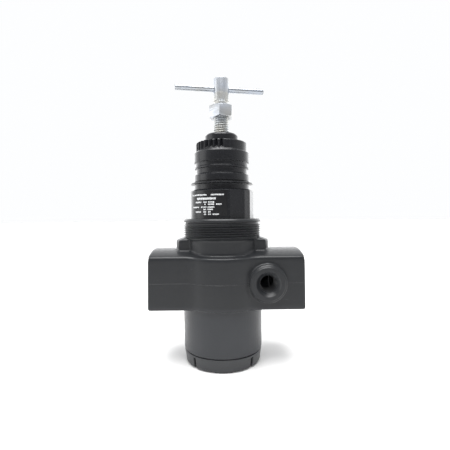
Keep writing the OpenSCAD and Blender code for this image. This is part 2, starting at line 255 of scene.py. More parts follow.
def join(name, parts):
    """Joins objects into the first one, which takes the name."""
    bpy.ops.object.select_all(action="DESELECT")
    for ob in parts:
        ob.select_set(True)
    bpy.context.view_layer.objects.active = parts[0]
    bpy.ops.object.join()
    parts[0].name = name
    parts[0].data.name = name
    return parts[0]


def with_modifiers(ob, *steps):
    """The object with its modifiers worked into a new mesh. A step is (kind, settings)."""
    for kind, settings in steps:
        modifier = ob.modifiers.new(kind.lower(), kind)
        for key, value in settings.items():
            setattr(modifier, key, value)
    bpy.context.view_layer.update()
    evaluated = ob.evaluated_get(bpy.context.evaluated_depsgraph_get())
    mesh = bpy.data.meshes.new_from_object(evaluated)
    name = ob.name
    for modifier in list(ob.modifiers):
        ob.modifiers.remove(modifier)
    ob.data = mesh
    ob.data.name = name
    return ob


def read_points(mesh):
    """The mesh's points in millimetres."""
    points = np.zeros(len(mesh.vertices) * 3)
    mesh.vertices.foreach_get("co", points)
    return points.reshape(-1, 3) / MM


def cast_copy(node, name, edit, voxel, rounds, edge_zone=None, edge_rounds=34):
    """A copy of a CAD node with a casting's small fillets. edit changes its points, in millimetres;
    edge_zone picks the points whose edges are rounder still."""
    mesh = frame["nodes"][node].data.copy()
    mesh.vertices.foreach_set("co", (edit(read_points(mesh)) * MM).ravel())
    work = bmesh.new()
    work.from_mesh(mesh)
    bmesh.ops.remove_doubles(work, verts=work.verts, dist=WELD)
    work.to_mesh(mesh)
    work.free()
    mesh.materials.clear()
    ob = to_scene(name, mesh)
    with_modifiers(
        ob,
        ("REMESH", {"mode": "VOXEL", "voxel_size": voxel * MM, "use_smooth_shade": True}),
        ("SMOOTH", {"factor": 0.5, "iterations": rounds}),
    )
    if edge_zone is not None:
        group = ob.vertex_groups.new(name="edges")
        group.add(np.flatnonzero(edge_zone(read_points(ob.data))).tolist(), 1.0, "ADD")
        with_modifiers(ob, ("SMOOTH", {"factor": 0.5, "iterations": edge_rounds, "vertex_group": "edges"}))
    ob.data.shade_smooth()
    return ob


def finish_piece(ob, material, body, slot, *replaced):
    """Gives a piece its material, its body and the CAD nodes it stands for. The slot argument is not used.
    """
    ob.data.materials.clear()
    ob.data.materials.append(material)
    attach(ob, body)
    if replaced:
        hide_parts(*replaced)
    return ob


# ---------------------------------------------------------------------------
# Materials
# ---------------------------------------------------------------------------


class Finish:
    """A Principled material with short calls for procedural detail in the object's own space."""

    def __init__(self, name, roughness, metallic=0.0, **sockets):
        self.material = bpy.data.materials.new(name)
        self.material.use_nodes = True
        self.tree = self.material.node_tree
        self.shader = self.tree.nodes["Principled BSDF"]
        self.set(self.shader, Roughness=roughness, Metallic=metallic, **sockets)
        self.space = self.tree.nodes.new("ShaderNodeTexCoord").outputs["Object"]

    def set(self, made, **sockets):
        for key, value in sockets.items():
            socket = made.inputs[key.replace("_", " ")]
            if isinstance(value, bpy.types.NodeSocket):
                self.tree.links.new(value, socket)
            else:
                socket.default_value = value
        return made

    def add(self, kind, settings=None, **sockets):
        made = self.tree.nodes.new(kind)
        for key, value in (settings or {}).items():
            setattr(made, key, value)
        return self.set(made, **sockets)

    def stretched(self, stretch, turn=0.0):
        mapping = self.add("ShaderNodeMapping", Vector=self.space, Scale=stretch)
        mapping.inputs["Rotation"].default_value = (0, 0, turn)
        return mapping.outputs["Vector"]

    def noise(self, scale, detail=3.0, stretch=(1, 1, 1), turn=0.0, distortion=0.0):
        made = self.add("ShaderNodeTexNoise", Vector=self.stretched(stretch, turn), Scale=scale,
                        Detail=detail, Distortion=distortion)
        return made.outputs["Fac"]

    def ramp(self, fac, *stops):
        """A colour ramp with stops (position, grey or colour)."""
        made = self.add("ShaderNodeValToRGB", Fac=fac)
        elements = made.color_ramp.elements
        while len(elements) < len(stops):
            elements.new(0.5)
        for element, (position, value) in zip(elements, stops):
            element.position = position
            colour = (value,) * 3 if isinstance(value, (int, float)) else value
            element.color = (*colour, 1)
        return made.outputs["Color"]

    def mix(self, fac, a, b):
        made = self.add("ShaderNodeMix", {"data_type": "RGBA"})
        for name, value in (("Factor", fac), ("A", a), ("B", b)):
            socket = next(s for s in made.inputs if s.name == name and s.enabled)
            if isinstance(value, bpy.types.NodeSocket):
                self.tree.links.new(value, socket)
            else:
                socket.default_value = value if name == "Factor" else (*value, 1)
        return next(s for s in made.outputs if s.enabled)

    def span(self, value, low, high, from_low=0.0, from_high=1.0):
        made = self.add("ShaderNodeMapRange", Value=value, From_Min=from_low, From_Max=from_high,
                        To_Min=low, To_Max=high)
        return made.outputs["Result"]

    def times(self, a, b):
        made = self.add("ShaderNodeMath", {"operation": "MULTIPLY"})
        self.tree.links.new(a, made.inputs[0])
        self.tree.links.new(b, made.inputs[1])
        return made.outputs["Value"]

    def edges(self, low, high):
        """Where the surface bends outwards: 0 below low, 1 above high."""
        point = self.add("ShaderNodeNewGeometry").outputs["Pointiness"]
        return self.span(point, 0.0, 1.0, low, high)

    def bump(self, height, depth, normal=None):
        made = self.add("ShaderNodeBump", Height=height, Distance=depth, Strength=1.0)
        if normal is not None:
            self.tree.links.new(normal, made.inputs["Normal"])
        return made.outputs["Normal"]

    def colour(self, value):
        return self.set(self.shader, Base_Color=value)


def coating(name, dark, light, rough_low, rough_high, grain, wear, painted_bounce_below=None):
    """A casting under a black coat: mottled tone, fine grain, a few scuffs and slightly rubbed edges.
    Below the height given as the last argument, in metres, the coat is painted paler: painted light bounced
    up from the white floor."""
    f = Finish(name, rough_low, Specular_IOR_Level=0.3)
    mottle = f.noise(38, 4)
    speck = f.noise(1500, 2)
    bare = (0.11, 0.115, 0.12)
    tone = f.mix(mottle, dark, light)
    scuff = f.ramp(f.noise(95, 5, (1, 1, 5), 0.6, 1.5), (0.7, 0.0), (0.78, 1.0))
    tone = f.mix(f.times(scuff, f.span(speck, 0.0, wear)), tone, bare)
    rubbed = f.times(f.edges(0.54, 0.64), f.span(f.noise(160, 3), 0.0, 1.0, 0.4, 0.7))
    tone = f.mix(f.times(rubbed, f.span(speck, 0.0, wear)), tone, bare)
    # painted light: below the given height the coat is mixed towards a paler tone, standing in for light
    # bounced up from the floor
    if painted_bounce_below is not None:
        fade = 0.004
        height = f.add("ShaderNodeSeparateXYZ", Vector=f.space).outputs["Z"]
        painted_bounce_mask = f.span(height, 1.0, 0.0, painted_bounce_below - fade, painted_bounce_below + fade)
        tone = f.mix(f.times(painted_bounce_mask, f.span(mottle, 0.5, 1.0)), tone, tuple(c * 2.1 for c in light))
    f.colour(tone)
    f.set(f.shader, Roughness=f.span(f.noise(420, 3), rough_low, rough_high, 0.35, 0.65))
    grain_normal = f.bump(f.noise(1150, 2), grain)
    f.set(f.shader, Normal=f.bump(f.noise(190, 2), grain * 1.5, grain_normal))
    return f.material


def plated(name, tone, stretch, turn=0.0, rough=(0.26, 0.42)):
    """Bright zinc plate over drawn or turned steel; stretch sets which way its fine lines run."""
    f = Finish(name, rough[0], 1.0)
    lines = f.noise(1.0, 4, stretch, turn)
    cloud = f.noise(85, 3)
    warm = tuple(c * k for c, k in zip(tone, (0.93, 0.91, 0.86)))
    cool = tuple(c * k for c, k in zip(tone, (0.93, 0.97, 1.03)))
    base = f.mix(f.span(cloud, 0.0, 1.0, 0.35, 0.65), cool, warm)
    dull = tuple(c * 0.75 for c in tone)
    f.colour(f.mix(f.span(lines, 0.0, 0.45, 0.5, 0.72), base, dull))
    f.set(f.shader, Roughness=f.span(lines, rough[0], rough[1], 0.3, 0.7))
    f.set(f.shader, Normal=f.bump(lines, 0.00001, f.bump(f.noise(900, 2), 0.000008)))
    return f.material


def metal(name, tone, rough_low, rough_high, stretch=(1, 1, 1)):
    """Plain machined metal with turning marks and slight stains."""
    f = Finish(name, rough_low, 1.0)
    marks = f.noise(600, 3, stretch)
    stain = f.noise(70, 4)
    f.colour(f.mix(f.span(stain, 0.0, 0.6, 0.4, 0.8), tone, tuple(c * 0.6 for c in tone)))
    f.set(f.shader, Roughness=f.span(marks, rough_low, rough_high))
    f.set(f.shader, Normal=f.bump(marks, 0.00003))
    return f.material


def rubber(name, tone):
    """Dull black rubber with a dusty bloom."""
    f = Finish(name, 0.7, Sheen_Weight=0.15)
    bloom = f.noise(150, 4)
    f.colour(f.mix(f.span(bloom, 0.0, 0.5), tone, tuple(c * 2.5 for c in tone)))
    f.set(f.shader, Roughness=f.span(bloom, 0.6, 0.82))
    f.set(f.shader, Normal=f.bump(f.noise(1300, 2), 0.00003))
    return f.material


def label_film(name):
    """Gloss black film with faint handling marks."""
    f = Finish(name, 0.2, Specular_IOR_Level=0.2, Coat_Weight=0.15, Coat_Roughness=0.08)
    smear = f.noise(90, 4, (1, 1, 0.4))
    f.colour(f.mix(smear, (0.006, 0.006, 0.007), (0.014, 0.014, 0.015)))
    f.set(f.shader, Roughness=f.span(smear, 0.14, 0.34))
    f.set(f.shader, Normal=f.bump(f.noise(700, 2), 0.000008))
    return f.material


def ink(name):
    """Pale printed ink, slightly worn."""
    f = Finish(name, 0.45)
    worn = f.noise(1400, 3)
    f.colour(f.mix(f.span(worn, 0.0, 1.0, 0.35, 0.75), (0.72, 0.73, 0.74), (0.4, 0.41, 0.42)))
    f.set(f.shader, Roughness=f.span(worn, 0.4, 0.6))
    return f.material


# height of the arms' underside; below it the body's coat is painted paler, as painted light from the floor
ARM_UNDERSIDE = 0.046
body_coat = coating("cast_coat", (0.0105, 0.0115, 0.013), (0.015, 0.016, 0.018),
                    0.29, 0.38, 0.00003, 0.5, ARM_UNDERSIDE)
plug_coat = coating("plug_coat", (0.03, 0.0315, 0.034), (0.042, 0.0435, 0.046),
                    0.3, 0.4, 0.00003, 0.5)
bonnet_coat = coating("bonnet_coat", (0.007, 0.0075, 0.009), (0.01, 0.0105, 0.0125),
                      0.21, 0.29, 0.000008, 0.25)
ZINC_TONE = (0.52, 0.535, 0.56)
# the slope of the bar's box, a little steeper than the bar in the CAD because the box holds its thickness
BAR_TURN = math.atan2(bar_high.y - bar_low.y, bar_high.x - bar_low.x)
zinc_upright = plated("zinc_upright", ZINC_TONE, (700, 700, 20))
# painted shade: the bar's zinc is a darker copy of the zinc tone, standing in for the dim surroundings that
# the bar's top reflects
zinc_bar = plated("zinc_bar", (0.36, 0.38, 0.41), (20, 420, 420), -BAR_TURN)
zinc_nut = plated("zinc_nut", ZINC_TONE, (160, 160, 700))
zinc_thread = plated("zinc_thread", (0.52, 0.525, 0.52), (200, 200, 500), 0.0, (0.3, 0.45))
spring_steel = metal("spring_steel", (0.3, 0.31, 0.33), 0.3, 0.5)
turned_steel = metal("turned_steel", (0.5, 0.51, 0.53), 0.25, 0.45, (1, 1, 4))
turned_brass = metal("turned_brass", (0.72, 0.5, 0.22), 0.22, 0.4, (1, 1, 4))
black_rubber = rubber("black_rubber", (0.012, 0.012, 0.013))
film = label_film("label_film")
pale_ink = ink("pale_ink")

# ---------------------------------------------------------------------------
# Body casting
# ---------------------------------------------------------------------------
# the panel collar: its turns, the plain rim above them and the bore inside
COLLAR_PITCH = 1.8
COLLAR_ROOT_R = collar_r - 1.2
COLLAR_LOW_Z = collar_top - 16.7
COLLAR_BAND = 2.6
NECK_R = 27.0
# the barrel, the flat fronts of the arms, and the blend between them
BARREL_R = body_high.y
ARM_Y = BARREL_R - 8.5
ARM_EDGE_Z = port_z + 19.95
BLEND_R = 20.0
# the casting is this much shallower than its CAD node, so that the mould line fits inside the box
FLASH_ROOM = 0.994
# tapped holes: thread pitches, and how much wider the casting is behind each thread
PORT_PITCH, GAUGE_PITCH = 2.209, 1.411
THREAD_SEAT, GAUGE_SEAT = 1.3, 0.8
# the gauge boss: its rim, its countersink and its face
GAUGE_BOSS_R = 14.3
GAUGE_SINK = 3.1
GAUGE_FACE_Y = gauge_at.y - gauge_length / 2 - GAUGE_SINK


def casting_points(points):
    """Makes room in the casting for the collar, the ports' threads, the gauge boss's turned front
    and the mould line."""
    near, on_wall = 0.1, 0.05
    core_r = COLLAR_ROOT_R - 0.2
    r = np.hypot(points[:, 0], points[:, 1])
    collar = (points[:, 2] > COLLAR_LOW_Z - near) & (r > NECK_R - near)
    shrink = np.where(collar & (r > core_r), core_r / np.maximum(r, 1), 1.0)
    points[:, :2] *= shrink[:, None]
    points[:, 2] = np.where(collar, np.minimum(points[:, 2], collar_top - 2.8), points[:, 2])

    along_x = np.hypot(points[:, 1], points[:, 2] - port_z)
    port = (abs(along_x - port_r) < on_wall) & (abs(points[:, 0]) > abs(port_at.x) - port_length)
    grow = np.where(port, (port_r + THREAD_SEAT) / np.maximum(along_x, 1), 1.0)
    points[:, 1] *= grow
    points[:, 2] = port_z + (points[:, 2] - port_z) * grow

    along_y = np.hypot(points[:, 0] - gauge_at.x, points[:, 2] - port_z)
    front = points[:, 1] < gauge_at.y + gauge_length
    tapped = (abs(along_y - gauge_r) < on_wall) & front
    sink = (abs(along_y - gauge_r - GAUGE_SINK) < near) & front & (points[:, 1] < GAUGE_FACE_Y + 0.2)
    grow = np.where(tapped | sink, (gauge_r + GAUGE_SEAT) / np.maximum(along_y, 1), 1.0)
    boss = front & (along_y < GAUGE_BOSS_R + 0.2)
    points[:, 1] = np.where(boss, np.maximum(points[:, 1], GAUGE_FACE_Y + 2.4), points[:, 1])
    points[:, 0] = gauge_at.x + (points[:, 0] - gauge_at.x) * grow
    points[:, 2] = port_z + (points[:, 2] - port_z) * grow

    below_skirt = points[:, 2] < ARM_EDGE_Z + 6
    points[:, 1] *= np.where(below_skirt, FLASH_ROOM, 1.0)
    return points


def top_edges(points):
    """The long edges where the arms and the barrel turn into their tops."""
    return (abs(points[:, 1]) > ARM_Y - 3.5) & (abs(points[:, 2] - ARM_EDGE_Z) < 2.8)


def collar_ring():
    """The threaded panel collar under its plain rounded rim."""
    end_r, relief_r = collar_r - 1.7, COLLAR_ROOT_R - 0.25
    thread_top = collar_top - COLLAR_BAND - 0.8
    shell = thread_wall(Shell(), collar_r - 0.05, COLLAR_ROOT_R, COLLAR_PITCH, COLLAR_LOW_Z, thread_top,
                        end_r, relief_r, 240)
    band_r, band_low = collar_r - 0.1, collar_top - COLLAR_BAND
    outside = [(relief_r, thread_top, 0), (relief_r, band_low - 0.15, 0.1),
               (band_r - 0.3, band_low, 0.2), (band_r, band_low + 0.35, 0.2),
               (band_r, collar_top - 1.2, 0.7), (band_r - 1.2, collar_top, 0.7)]
    inner_r = NECK_R + 0.05
    inside = [(28.6, collar_top, 0.25), (inner_r, collar_top - 1.5, 0.2), (inner_r, collar_top - 3.2, 0),
              (end_r - 0.5, collar_top - 4.5, 0), (end_r - 0.5, COLLAR_LOW_Z + 0.3, 0),
              (end_r, COLLAR_LOW_Z, 0)]
    return shell.grid(lathe(soften(outside + inside), 240)).object("collar_ring", 28)


def gauge_face():
    """The machined front of the gauge boss: countersink, flat ring, and a rim turned in two steps.
    A corner is (r, depth behind the face, fillet)."""
    rim_r, sink_r, foot_r, back = GAUGE_BOSS_R, gauge_r + GAUGE_SINK, gauge_r + 0.55, 3.4
    ring = [(rim_r, 2.6, 0), (rim_r, 1.6, 0.5), (rim_r - 0.95, 0.75, 0.15), (rim_r - 1.15, 0.85, 0.1),
            (rim_r - 2.1, 0, 0.2), (sink_r + 0.15, 0, 0.12), (sink_r, 0.15, 0.1), (foot_r, 2.9, 0.15),
            (foot_r, back, 0), (rim_r - 1.5, back, 0), (rim_r, 2.6, 0)]
    place = Matrix.Translation(Vector((gauge_at.x, GAUGE_FACE_Y, port_z)))
    place = place @ Matrix.Rotation(-math.pi / 2, 4, "X")
    return Shell().grid(lathe(soften(ring), 160)).object("gauge_face", 24, place)


def port_thread(name, face_point, outward, mouth_r, minor_r, root_r, pitch, length, seat_r):
    """A tapered inside thread let into the casting; its own +Z is the way out of the port."""
    shell = thread_wall(Shell(), minor_r, root_r, pitch, 0.0, length, root_r + 0.1, mouth_r, 144, 1 / 32)
    shell.grid(lathe([(mouth_r, length), (seat_r, length), (seat_r, 0), (root_r + 0.1, 0)], 144))
    turn = Vector((0, 0, 1)).rotation_difference(outward).to_matrix().to_4x4()
    place = Matrix.Translation(face_point - outward * (length + 0.03)) @ turn
    return shell.object(name, 28, place)


def flash_route():
    """Points (x, y) and outward directions along the front of the casting, from left to right."""
    centre = Vector((math.sqrt((BARREL_R + BLEND_R) ** 2 - (ARM_Y + BLEND_R) ** 2), ARM_Y + BLEND_R))
    meet = math.atan2(centre.y, centre.x)
    right = [(Vector((math.cos(a), math.sin(a))) * BARREL_R, Vector((math.cos(a), math.sin(a))))
             for a in np.linspace(math.pi / 2, meet, 36)]
    right += [(centre + Vector((math.cos(a), math.sin(a))) * BLEND_R, Vector((-math.cos(a), -math.sin(a))))
              for a in np.linspace(meet - math.pi, -math.pi / 2, 18)[1:]]
    start, end = centre.x, body_high.x - 0.6
    right += [(Vector((x, ARM_Y)), Vector((0, 1))) for x in np.arange(start + 1, end, 1.0)]
    mirror = [(Vector((-p.x, p.y)), Vector((-d.x, d.y))) for p, d in right[1:] if -p.x > body_low.x + 0.6]
    return mirror[::-1] + right


def parting_flash():
    """The thin raised line that the two halves of the mould left at the ports' height."""
    rnd = random.Random(7)
    shell = Shell()
    root = 0.3
    for side in (-1, 1):
        runs = [[]]
        for point, away in flash_route():
            if abs(point.x - gauge_at.x) < GAUGE_BOSS_R - 0.1:
                runs.append([])
                continue
            lift = 0.17 + 0.04 * rnd.random()
            wide = 0.24 + 0.06 * rnd.random()
            z = port_z + 0.12 * (rnd.random() - 0.5)
            section = [(-root, -wide), (0.02, -wide), (lift, 0), (0.02, wide), (-root, wide)]
            runs[-1].append([(point.x + away.x * out, side * FLASH_ROOM * (point.y + away.y * out), z + up)
                             for out, up in section])
        for rows in runs:
            if len(rows) > 1:
                shell.grid(np.array(rows))
                for row in (rows[0], rows[-1]):
                    shell.add(row, [list(range(len(row)))])
    return shell.object("parting_flash", 20)


casting = cast_copy("body", "body_casting", casting_points, 0.65, 12, top_edges)
port_threads = [
    port_thread(f"port_thread_{k}", Vector((x, 0, port_z)), Vector((math.copysign(1, x), 0, 0)),
                port_r + 1.5, port_r - 0.75, port_r + 0.85, PORT_PITCH, 21.8, port_r + 1.7)
    for k, x in enumerate((body_low.x, body_high.x))
]
gauge_mouth = Vector((gauge_at.x, GAUGE_FACE_Y + 3.0, port_z))
gauge_thread = port_thread("gauge_thread", gauge_mouth, Vector((0, -1, 0)), gauge_r + 0.6, gauge_r - 0.5,
                           gauge_r + 0.45, GAUGE_PITCH, 15.5, gauge_r + 0.95)
join("body_casting", [casting, collar_ring(), gauge_face(), parting_flash(), gauge_thread, *port_threads])
finish_piece(casting, body_coat, "housing", "cast_body", "body")

# ---------------------------------------------------------------------------
# Base plug
# ---------------------------------------------------------------------------
base = cast_copy("bottom_plug", "base_plug", lambda points: points, 0.45, 4)
finish_piece(base, plug_coat, "housing", "cast_body", "bottom_plug")

# ---------------------------------------------------------------------------
# Bonnet
# ---------------------------------------------------------------------------
# radius at the flats' corners, and the corners' angles from the front, in degrees
FACET_R = 26.4
FACET_EDGES = [12.5, 42, 58, 90, 122, 138, 170, 202, 218, 250, 280]
# the grip ring: degrees between grooves, grooves in each of two groups, and the cone at their feet
SERRATION_PITCH = 11.6
SERRATIONS = 8
GRIP_R = 21.4
CONE_FOOT_R, CONE_FOOT_DROP = 23.2, 16.4
# stands for "no cut here" in the rules below
FAR_R = 99.0
top_z = bonnet_high.z


def bonnet_outline():
    """Corners (r, drop below the top, fillet) from the facets up, then down the bore."""
    drops = [(19, 92, 0), (26.95, 92, 0.5), (26.95, 74, 0), (FACET_R, 73.5, 0), (FACET_R, 48.3, 0.2),
             (24.7, 47, 0.2), (23.2, 47, 0.3), (23.2, 43.1, 0.3), (23.6, 42.6, 0.1), (26.15, 42.4, 0.25),
             (26.15, 41.5, 0.25), (22.4, 40.9, 0.2), (22.4, 40.4, 0.1), (23, 40, 0.2), (23, 34.9, 0.3),
             (21.5, 33.5, 0.3), (21.5, 29.9, 0.3), (22.8, 29.4, 0.25), (22.8, 28.3, 0.3), (22.1, 27.5, 0.2),
             (22.1, 24.9, 0.3), (23.2, 24.3, 0.3), (CONE_FOOT_R, CONE_FOOT_DROP, 0.25),
             (GRIP_R, CONE_FOOT_DROP - CONE_FOOT_R + GRIP_R, 0.1), (GRIP_R, 8.0, 0.12), (20.8, 7.4, 0.12),
             (14, 7.4, 0.4), (14, 1.6, 0.8), (12.6, 0, 0.9), (7.5, 0, 0.15), (6.42, 1, 0.1), (6.42, 20, 0),
             (19, 20, 0.5), (19, 92, 0)]
    return soften([(r, top_z - drop, fillet) for r, drop, fillet in drops])


def facet_radius(angles):
    """Radius of the wrench flats at each angle; the label's sector stays round."""
    front = (np.degrees(angles) + 90) % 360
    radius = np.full(len(angles), FAR_R)
    for a, b in zip(FACET_EDGES, FACET_EDGES[1:]):
        inside = (front >= a) & (front <= b)
        flat = (FACET_R + 0.08) * math.cos(math.radians((b - a) / 2))
        radius = np.where(inside, flat / np.cos(np.radians(front - (a + b) / 2)), radius)
    return radius


def groove_radius(angles):
    """Radius of the grip ring's V-grooves at each angle."""
    depth, reach, opening = 2.4, 0.6, 2.3
    radius = np.full(len(angles), FAR_R)
    slope = opening / (depth + reach)
    for group in (0, 180):
        for k in range(SERRATIONS):
            off = np.radians((np.degrees(angles) - (group - 90 - SERRATION_PITCH * k) + 180) % 360 - 180)
            near = abs(off) < 0.2
            wall = (GRIP_R - depth) * slope / np.maximum(slope * np.cos(off) - abs(np.sin(off)), 0.01)
            radius = np.where(near, np.minimum(radius, wall), radius)
    return radius


def bonnet_rule(angles, r, z):
    """Cuts the flats and the grip grooves into the turned shape."""
    drop = top_z - z
    radius = np.full(len(angles), float(r))
    if 46.9 < drop < 73.6 and r > 24:
        return np.minimum(radius, facet_radius(angles))
    if 7.3 < drop < CONE_FOOT_DROP and r > 20:
        cone = CONE_FOOT_R - (CONE_FOOT_DROP - drop)
        return np.minimum(radius, np.maximum(groove_radius(angles), cone))
    return radius


outline = densify(bonnet_outline(), 0.22, top_z - 48.6, top_z - 46.8)
outline = densify(outline, 0.25, top_z - CONE_FOOT_DROP - 0.2, top_z - 7.3)
bonnet = turned("bonnet_cover", outline, 720, bonnet_rule, 30)
finish_piece(bonnet, bonnet_coat, "housing", "bonnet", "bonnet")

# ---------------------------------------------------------------------------
# Rating label with generic marks
# ---------------------------------------------------------------------------
LABEL_FROM, LABEL_TO = -80.0, 8.5
LABEL_R = FACET_R + 0.03


def arc_plate(shell, start, end, low, high, inner, outer, corner=0.0, columns=24):
    """A plate bent round the axis. Angles are counted from the front, in degrees."""
    rows = []
    for k in range(columns + 1):
        # the columns crowd towards the ends, where the corners are round
        t = 0.5 - 0.5 * math.cos(math.pi * k / columns)
        a = math.radians(start + (end - start) * t - 90)
        edge = min(t, 1 - t) * math.radians(end - start) * outer
        cut = corner - math.sqrt(max(corner**2 - (corner - edge) ** 2, 0)) if edge < corner else 0.0
        section = ((inner, low + cut), (outer, low + cut), (outer, high - cut), (inner, high - cut))
        rows.append([(r * math.cos(a), r * math.sin(a), z) for r, z in section])
    shell.grid(np.array(rows))
    for row in (rows[0], rows[-1]):
        shell.add(row, [(0, 1, 2, 3)])


def label_marks():
    """Rows of short dashes in place of print. A row is its drop below the label's top, its height,
    and its runs of dashes as angles from the front, in degrees."""
    rows = [
        (2.8, 1.2, [(-63, -58), (-56, -26), (-19, 4)]),
        (5.5, 1.8, [(-48, -10)]),
        (8.5, 1.2, [(-52, -38), (-33, -27), (-24, -12)]),
        (10.2, 1.2, [(-31, -28), (-24, -12), (-10, 0)]),
        (12.4, 1.2, [(-60, -42), (-38, -35), (-33, -27), (-25, -13)]),
        (14.2, 1.2, [(-33, -28), (-25, -15)]),
        (16.1, 1.2, [(-52, -38), (-33, -28), (-24, -19)]),
        (17.9, 1.2, [(-32, -28), (-24, -19), (-16, -5)]),
    ]
    rnd = random.Random(21)
    shell = Shell()
    gap = 0.55
    for drop, size, runs in rows:
        high = label_high.z - drop
        for start, end in runs:
            at = start
            while at < end - 0.8:
                wide = min(rnd.uniform(1.1, 2.3), end - at)
                arc_plate(shell, at, at + wide, high - size * rnd.uniform(0.8, 1.0), high,
                          LABEL_R + 0.1, LABEL_R + 0.135, 0.12, 4)
                at += wide + gap
    return shell


label = Shell()
arc_plate(label, LABEL_FROM, LABEL_TO, label_low.z, label_high.z, LABEL_R, LABEL_R + 0.11, 1.2, 72)
finish_piece(label.object("label_plate", 30), film, "housing", "label", "rating_label")
finish_piece(label_marks().object("label_marks", 30), pale_ink, "housing", "label")

# ---------------------------------------------------------------------------
# Adjusting screw, bar and nut
# ---------------------------------------------------------------------------
SCREW_PITCH = 25.4 / 13
SCREW_R = 6.35
HEAD_R = 6.8
BAR_R = (bar_high.z - bar_low.z) / 2
bar_mid = (bar_low + bar_high) / 2
head_top = screw_high.z
neck_low = head_top - 22.5
head_low = head_top - 18.7
dog_top = screw_low.z + 3


def screw_shank():
    shell = thread_wall(Shell(), SCREW_R - 0.01, SCREW_R - 1.2, SCREW_PITCH, dog_top + 0.6, neck_low,
                        SCREW_R - 1.0, SCREW_R - 0.95, 96)
    low = [(0, screw_low.z), (3.4, screw_low.z), (3.94, screw_low.z + 0.5), (3.94, dog_top + 0.6),
           (SCREW_R - 1.0, dog_top + 0.6)]
    neck_r = SCREW_R - 0.95
    neck = [(neck_r, neck_low, 0), (neck_r, neck_low + 1.5, 0.4), (HEAD_R - 0.9, head_low - 1.4, 0.3),
            (HEAD_R - 0.15, head_low - 0.9, 0.3), (HEAD_R, head_low, 0.2), (HEAD_R, bar_mid.z - 4, 0)]
    shell.grid(lathe(low, 96))
    shell.grid(lathe(soften(neck), 96))
    shell.grid(lathe([(HEAD_R, bar_mid.z - 4), (0, bar_mid.z - 4)], 96))
    return shell.object("screw_thread", 30)


def screw_head():
    """The drilled head: a turned block with the bar's hole cut through it."""
    corners = [(0, bar_mid.z - 4, 0), (HEAD_R, bar_mid.z - 4, 0), (HEAD_R, head_top - 0.9, 0.35),
               (HEAD_R - 0.9, head_top, 0.35), (0, head_top, 0)]
    head = turned("screw_head", soften(corners), 96)
    hole_outline = [(0, -12), (3.4, -12), (3.4, -HEAD_R), (BAR_R + 0.05, -HEAD_R + 0.6),
                    (BAR_R + 0.05, HEAD_R - 0.6), (3.4, HEAD_R), (3.4, 12), (0, 12)]
    hole = turned("bar_hole", hole_outline, 64)
    hole.matrix_world = (Matrix.Translation(Vector((0, 0, bar_mid.z)) * MM)
                         @ Matrix.Rotation(BAR_TURN, 4, "Z") @ Matrix.Rotation(math.pi / 2, 4, "Y"))
    with_modifiers(head, ("BOOLEAN", {"operation": "DIFFERENCE", "object": hole, "solver": "EXACT"}))
    bpy.data.objects.remove(hole)
    head.data.shade_smooth()
    head.data.set_sharp_from_angle(angle=math.radians(30))
    return head


def hex_nut():
    """A chamfered hexagon with a plain countersunk hole, its edges barely rounded."""
    flats = 19.05
    corner_r = flats / 2 / math.cos(math.pi / 6)
    low, high = nut_low.z, nut_high.z
    prism = Shell().grid(lathe([(0, low), (corner_r, low), (corner_r, high), (0, high)], 6)).object("nut")
    prism.matrix_world = Matrix.Rotation(math.radians(23), 4, "Z")
    flat_r, wide_r, slope = corner_r - 1.9, corner_r + 0.3, 1.25
    chamfer = [(0, low), (flat_r, low), (wide_r, low + slope),
               (wide_r, high - slope), (flat_r, high), (0, high)]
    limit = turned("nut_limit", chamfer, 128)
    bore = [(0, low - 1), (SCREW_R + 1.15, low - 1), (SCREW_R + 0.9, low), (SCREW_R + 0.02, low + 0.9),
            (SCREW_R + 0.02, high - 0.9), (SCREW_R + 0.9, high), (SCREW_R + 1.15, high + 1), (0, high + 1)]
    hole = turned("nut_hole", bore, 96)
    with_modifiers(prism, ("BOOLEAN", {"operation": "INTERSECT", "object": limit, "solver": "EXACT"}))
    prism.data.transform(prism.matrix_world)
    prism.matrix_world = Matrix.Identity(4)
    with_modifiers(prism, ("BOOLEAN", {"operation": "DIFFERENCE", "object": hole, "solver": "EXACT"}),
                   ("BEVEL", {"width": 0.16 * MM, "segments": 2, "limit_method": "ANGLE",
                              "angle_limit": math.radians(25)}))
    for ob in (limit, hole):
        bpy.data.objects.remove(ob)
    prism.data.shade_smooth()
    prism.data.set_sharp_from_angle(angle=math.radians(40))
    return prism


def tee_bar():
    length = (bar_high.x - bar_low.x) / math.cos(BAR_TURN) - 0.6
    length = min(length, 76.2)
    corners = [(0, -length / 2, 0), (BAR_R - 0.3, -length / 2, 0.12), (BAR_R, -length / 2 + 0.35, 0.2),
               (BAR_R, length / 2 - 0.35, 0.2), (BAR_R - 0.3, length / 2, 0.12), (0, length / 2, 0)]
    shell = Shell().grid(lathe(soften(corners), 64))
    place = (Matrix.Translation(bar_mid) @ Matrix.Rotation(BAR_TURN, 4, "Z")
             @ Matrix.Rotation(math.pi / 2, 4, "Y"))
    return shell.object("tee_bar", 30, place)


shank = screw_shank()
finish_piece(shank, zinc_thread, "screw", "zinc", "adjusting_screw")
head = screw_head()
finish_piece(head, zinc_upright, "screw", "zinc")
finish_piece(tee_bar(), zinc_bar, "screw", "zinc", "tommy_bar")
nut = hex_nut()
nut.name = "hex_lock_nut"
finish_piece(nut, zinc_nut, "nut", "zinc", "lock_nut")

# ---------------------------------------------------------------------------
# Springs and diaphragm, which change shape
# ---------------------------------------------------------------------------


